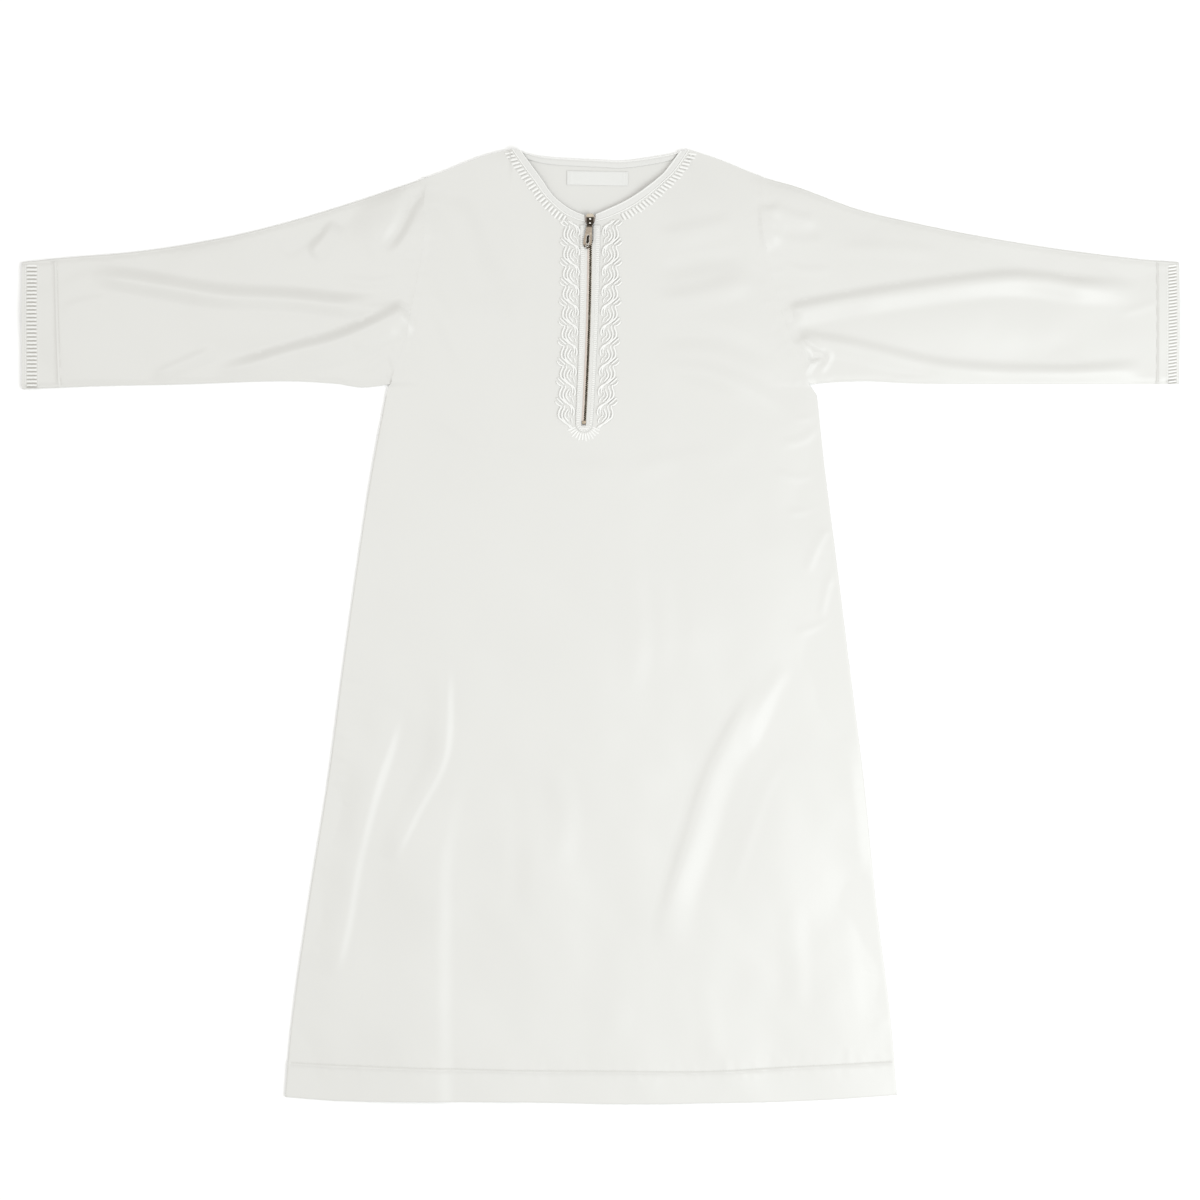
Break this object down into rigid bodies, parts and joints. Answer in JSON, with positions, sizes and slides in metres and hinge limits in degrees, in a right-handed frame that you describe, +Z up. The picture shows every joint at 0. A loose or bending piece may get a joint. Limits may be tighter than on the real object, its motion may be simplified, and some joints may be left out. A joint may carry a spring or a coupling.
{
  "type": "thobe robe",
  "caption": "Long white ankle-length robe for a child, with long sleeves, a bound round neck, a short front zip with a swinging pull tab, and corded embroidery, laid flat.",
  "frame": {"origin": "on the floor, under the middle of the laid-out robe's box", "axes": "+X towards the sleeve on the right of someone who looks at the front, +Y towards the neck, +Z up, out of the front"},
  "size_m": [1.0662, 0.88, 0.0103],
  "materials": {
    "satin": "off-white polyester satin, soft sheen",
    "neck_binding": "the same satin, cut on the bias and ribbed by stitching",
    "label_weave": "plain woven white, blank",
    "embroidery_thread": "white satin-stitched cord",
    "tape": "beige woven zip tape",
    "antique_brass": "antique brass, worn bright on its edges"
  },
  "bodies": {
    "robe": {"back_panel": "satin", "front_panel": "satin", "sleeve_left": "satin", "sleeve_right": "satin", "neck_band_left": "neck_binding", "neck_band_right": "neck_binding", "neck_band_back": "neck_binding", "label": "label_weave", "placket": "satin", "embroidery_left": "embroidery_thread", "embroidery_right": "embroidery_thread", "zip_tape": "tape", "zip_chain": "antique_brass", "zip_bottom_stop": "antique_brass", "zip_slider": "antique_brass"},
    "pull": {"zip_pull": "antique_brass"}
  },
  "joints": [
    {"name": "zip_pull", "type": "hinge", "parent": "robe", "child": "pull", "pos_m": [-0.0096, 0.373, 0.00755], "axis": [-1, 0, 0], "range_deg": [0, 160]}
  ]
}
